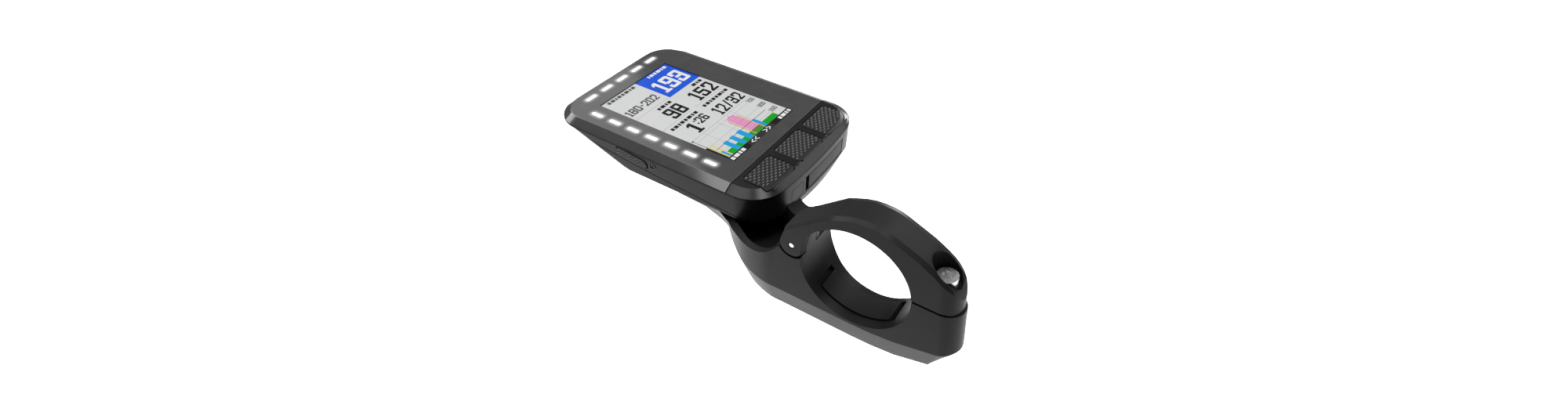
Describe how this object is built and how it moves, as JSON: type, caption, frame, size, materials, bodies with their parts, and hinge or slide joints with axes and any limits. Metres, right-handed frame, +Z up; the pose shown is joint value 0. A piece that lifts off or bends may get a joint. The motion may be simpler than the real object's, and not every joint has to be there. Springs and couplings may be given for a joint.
{
  "type": "cycling computer",
  "caption": "Slim bar-mounted ride display with a light-edged screen, rear keys and a side-set out-front clamp that hinges open around the handlebar.",
  "frame": {"origin": "on the handlebar axis, midway across the clamp strap", "axes": "+X to the rider's right along the handlebar, +Y forward in the direction of travel, +Z up, square to the level screen"},
  "size_m": [0.0736, 0.1571, 0.0473],
  "materials": {
    "arm_plastic": "fine satin grain",
    "case_plastic": "satin",
    "cover_gloss": "gloss",
    "key_plastic": "raised grip texture",
    "soft_rubber": "matt",
    "clear_window": "clear, glossy",
    "screen_panel": "matt reflective screen with printed-looking figures",
    "light_guide": "lit white",
    "circuit_board": "satin",
    "cell_foil": "satin foil",
    "chip_plastic": "matt",
    "antenna_ceramic": "matt ceramic",
    "plain_steel": "bright zinc",
    "plain_brass": "turned"
  },
  "bodies": {
    "arm": {"mount_arm": "arm_plastic", "lower_liner": "soft_rubber", "threaded_insert": "plain_brass", "bayonet_insert": "case_plastic", "insert_screw_1": "plain_steel", "insert_screw_2": "plain_steel", "hinge_pin": "plain_steel"},
    "strap": {"clamp_strap": "arm_plastic", "upper_liner": "soft_rubber"},
    "bolt": {"clamp_bolt": "plain_steel"},
    "head": {"button_fascia": "case_plastic", "main_housing": "case_plastic", "bottom_cover": "case_plastic", "lock_ring": "case_plastic", "display_cover": "cover_gloss", "case_seal": "soft_rubber", "display_window": "clear_window", "lcd_panel": "screen_panel", "light_front_1": "light_guide", "light_front_2": "light_guide", "light_front_3": "light_guide", "light_front_4": "light_guide", "light_front_5": "light_guide", "light_side_1": "light_guide", "light_side_2": "light_guide", "light_side_3": "light_guide", "light_side_4": "light_guide", "light_side_5": "light_guide", "light_side_6": "light_guide", "light_side_7": "light_guide", "main_board": "circuit_board", "battery": "cell_foil", "buzzer": "chip_plastic", "switch_left": "chip_plastic", "switch_centre": "chip_plastic", "switch_right": "chip_plastic", "power_switch": "chip_plastic", "up_switch": "chip_plastic", "down_switch": "chip_plastic", "gps_antenna": "antenna_ceramic", "case_screw_1": "plain_steel", "case_screw_2": "plain_steel", "case_screw_3": "plain_steel", "case_screw_4": "plain_steel", "usb_socket": "plain_steel"},
    "down_button": {"down_button": "key_plastic"},
    "key_centre": {"key_centre": "key_plastic"},
    "key_left": {"key_left": "key_plastic"},
    "key_right": {"key_right": "key_plastic"},
    "power_button": {"power_button": "key_plastic"},
    "up_button": {"up_button": "key_plastic"},
    "usb_door": {"usb_door": "soft_rubber"}
  },
  "joints": [
    {"name": "head_twist", "type": "hinge", "parent": "arm", "child": "head", "pos_m": [0.03725, 0.08, -0.018], "axis": [0, 0, 1], "range_deg": [0, 90]},
    {"name": "strap_hinge", "type": "hinge", "parent": "arm", "child": "strap", "pos_m": [0, 0.0191, 0.0025], "axis": [-1, 0, 0], "range_deg": [0, 70]},
    {"name": "bolt_travel", "type": "slide", "parent": "strap", "child": "bolt", "axis": [0, 0.0995, 0.995], "range_m": [0, 0.0098]},
    {"name": "key_left_press", "type": "slide", "parent": "head", "child": "key_left", "axis": [0, 0, -1], "range_m": [0, 0.0005], "stiffness_N_per_m": 1500, "springref_m": -0.0003},
    {"name": "key_centre_press", "type": "slide", "parent": "head", "child": "key_centre", "axis": [0, 0, -1], "range_m": [0, 0.0005], "stiffness_N_per_m": 1500, "springref_m": -0.0003},
    {"name": "key_right_press", "type": "slide", "parent": "head", "child": "key_right", "axis": [0, 0, -1], "range_m": [0, 0.0005], "stiffness_N_per_m": 1500, "springref_m": -0.0003},
    {"name": "power_press", "type": "slide", "parent": "head", "child": "power_button", "axis": [1, 0, 0], "range_m": [0, 0.0005], "stiffness_N_per_m": 1500, "springref_m": -0.0003},
    {"name": "up_press", "type": "slide", "parent": "head", "child": "up_button", "axis": [-1, 0, 0], "range_m": [0, 0.0005], "stiffness_N_per_m": 1500, "springref_m": -0.0003},
    {"name": "down_press", "type": "slide", "parent": "head", "child": "down_button", "axis": [-1, 0, 0], "range_m": [0, 0.0005], "stiffness_N_per_m": 1500, "springref_m": -0.0003},
    {"name": "usb_door_hinge", "type": "hinge", "parent": "head", "child": "usb_door", "pos_m": [0.054, 0.0364, -0.0087], "axis": [0, 0, 1], "range_deg": [0, 95]}
  ],
  "couplings": [
    {"joint": "bolt_travel", "follows": "strap_hinge", "m_per_rad": 0.008}
  ]
}
